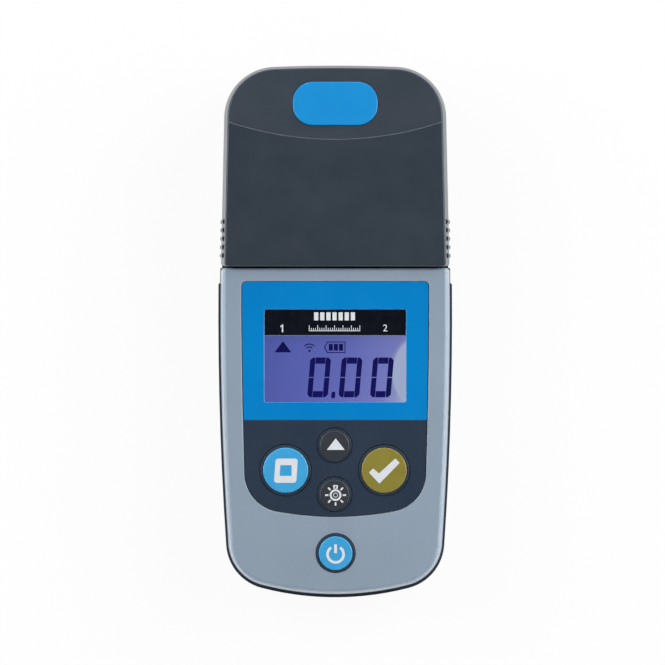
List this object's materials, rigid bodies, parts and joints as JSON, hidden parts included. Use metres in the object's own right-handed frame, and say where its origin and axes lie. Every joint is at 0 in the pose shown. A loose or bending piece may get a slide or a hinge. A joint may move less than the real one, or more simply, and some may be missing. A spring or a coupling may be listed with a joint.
{
  "type": "portable colorimeter",
  "caption": "Hand-held photometer lying on its back: display, sealed keys and a hood that lifts off the sample cell well.",
  "frame": {"origin": "centre of the back's footprint, on the surface the instrument lies on", "axes": "+X to the right of the face, +Y towards the cap end, +Z out of the face, upwards as it lies in use"},
  "size_m": [0.069, 0.157, 0.034],
  "materials": {
    "front_shell": "silver-grey paint on moulded ABS, fine texture",
    "dark_shell": "charcoal ABS, fine moulded texture",
    "blue_plate": "satin printed polycarbonate",
    "key_plate": "satin printed polycarbonate",
    "badge": "plain blue label plate, blank",
    "black_print": "black printed film",
    "window": "clear acrylic",
    "display": "negative grey display glass, violet backlight",
    "light_guide": "frosted light guide",
    "key_rubber": "silicone rubber",
    "key_blue": "hard key cap",
    "key_olive": "hard key cap",
    "key_black": "hard key cap",
    "seal_rubber": "nitrile or silicone seal",
    "steel": "stainless screw",
    "brass": "knurled insert",
    "circuit_board": "solder mask on glass epoxy",
    "chip": "moulded chip body",
    "white_plastic": "moulded frame",
    "black_plastic": "matt black optics holder",
    "lens_glass": "polished glass",
    "filter_glass": "interference filter",
    "lamp_resin": "clear resin",
    "can_metal": "nickel-plated can",
    "ribbon": "flat flex",
    "battery_jacket": "plain shrink jacket",
    "contact_metal": "nickel-plated spring steel"
  },
  "bodies": {
    "case": {"rear_housing": "dark_shell", "front_housing": "front_shell", "housing_seal": "seal_rubber", "case_screws": "steel", "case_inserts": "brass", "cell_compartment": "dark_shell", "deck_seal": "seal_rubber", "deck_screws": "steel", "well_windows": "window", "lamp_holder": "black_plastic", "detector_holder": "black_plastic", "lamp_lens": "lens_glass", "led_lamp": "lamp_resin", "wavelength_filter": "filter_glass", "photodiode": "can_metal", "optics_boards": "circuit_board", "optics_ribbons": "ribbon", "cap_light_seal": "seal_rubber", "display_plate": "blue_plate", "key_plate": "key_plate", "display_window": "window", "display_header": "black_print", "key_switches": "black_plastic", "key_mat": "key_rubber", "main_board": "circuit_board", "board_screws": "steel", "processor": "chip", "radio_module": "can_metal", "light_guide": "light_guide", "display_glass": "display", "contact_strips": "seal_rubber", "display_frame": "white_plastic", "battery_springs": "contact_metal", "battery_contacts": "contact_metal", "battery_pins": "brass", "cover_inserts": "brass", "battery_1": "battery_jacket", "battery_2": "battery_jacket", "battery_3": "battery_jacket", "battery_4": "battery_jacket"},
    "cap": {"instrument_cap": "dark_shell", "badge_plate": "badge"},
    "battery_door": {"battery_cover": "dark_shell", "battery_cover_seal": "seal_rubber", "battery_cover_screws": "steel"},
    "zero_button": {"zero_key": "key_rubber", "zero_key_cap": "key_blue", "zero_switch_pin": "white_plastic"},
    "read_button": {"read_key": "key_rubber", "read_key_cap": "key_olive", "read_switch_pin": "white_plastic"},
    "up_button": {"up_key": "key_rubber", "up_key_cap": "key_black", "up_switch_pin": "white_plastic"},
    "light_button": {"light_key": "key_rubber", "light_key_cap": "key_black", "light_switch_pin": "white_plastic"},
    "power_button": {"power_key": "key_rubber", "power_key_cap": "key_blue", "power_switch_pin": "white_plastic"}
  },
  "joints": [
    {"name": "cap_lift", "type": "slide", "parent": "case", "child": "cap", "axis": [0, 0, 1], "range_m": [0, 0.08]},
    {"name": "battery_cover_release", "type": "slide", "parent": "case", "child": "battery_door", "axis": [0, 0, -1], "range_m": [0, 0.02]},
    {"name": "zero_press", "type": "slide", "parent": "case", "child": "zero_button", "axis": [0, 0, -1], "range_m": [0, 0.0008], "stiffness_N_per_m": 1500, "springref_m": -0.0004},
    {"name": "read_press", "type": "slide", "parent": "case", "child": "read_button", "axis": [0, 0, -1], "range_m": [0, 0.0008], "stiffness_N_per_m": 1500, "springref_m": -0.0004},
    {"name": "up_press", "type": "slide", "parent": "case", "child": "up_button", "axis": [0, 0, -1], "range_m": [0, 0.0008], "stiffness_N_per_m": 1500, "springref_m": -0.0004},
    {"name": "light_press", "type": "slide", "parent": "case", "child": "light_button", "axis": [0, 0, -1], "range_m": [0, 0.0008], "stiffness_N_per_m": 1500, "springref_m": -0.0004},
    {"name": "power_press", "type": "slide", "parent": "case", "child": "power_button", "axis": [0, 0, -1], "range_m": [0, 0.0008], "stiffness_N_per_m": 1500, "springref_m": -0.0004}
  ]
}
